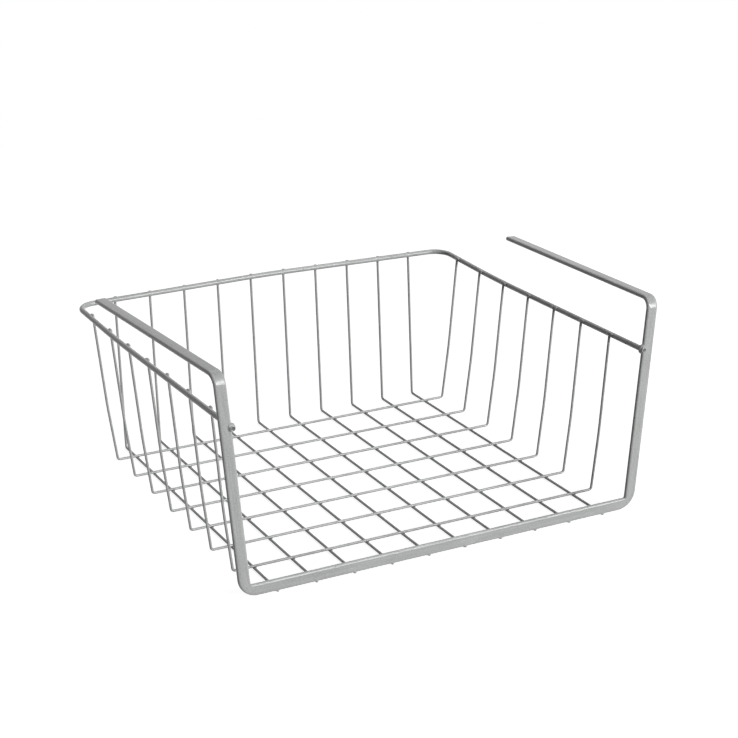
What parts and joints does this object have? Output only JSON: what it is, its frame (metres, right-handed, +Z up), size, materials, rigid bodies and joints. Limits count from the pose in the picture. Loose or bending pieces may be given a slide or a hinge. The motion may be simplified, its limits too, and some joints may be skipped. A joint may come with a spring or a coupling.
{
  "type": "under shelf basket",
  "caption": "Open-fronted wire basket that hangs from a shelf board by the two arms of its bent flat-bar front frame, with a rim wire round three sides and a welded grid of thin wires.",
  "frame": {"origin": "on the ground under the middle of the whole basket's box", "axes": "+X to the right seen from the open front, +Y towards the closed back, +Z up"},
  "size_m": [0.3094, 0.2606, 0.14],
  "materials": {
    "flat_bar": "satin silver-grey coating",
    "rim": "satin silver-grey coating",
    "grid_wire": "satin silver-grey coating"
  },
  "bodies": {
    "root": {"front_frame": "flat_bar", "rim_wire": "rim", "cross_wire_1": "grid_wire", "cross_wire_2": "grid_wire", "cross_wire_3": "grid_wire", "cross_wire_4": "grid_wire", "cross_wire_5": "grid_wire", "cross_wire_6": "grid_wire", "cross_wire_7": "grid_wire", "long_wire_1": "grid_wire", "long_wire_2": "grid_wire", "long_wire_3": "grid_wire", "long_wire_4": "grid_wire", "long_wire_5": "grid_wire", "long_wire_6": "grid_wire", "long_wire_7": "grid_wire", "long_wire_8": "grid_wire", "long_wire_9": "grid_wire", "long_wire_10": "grid_wire"}
  },
  "joints": []
}
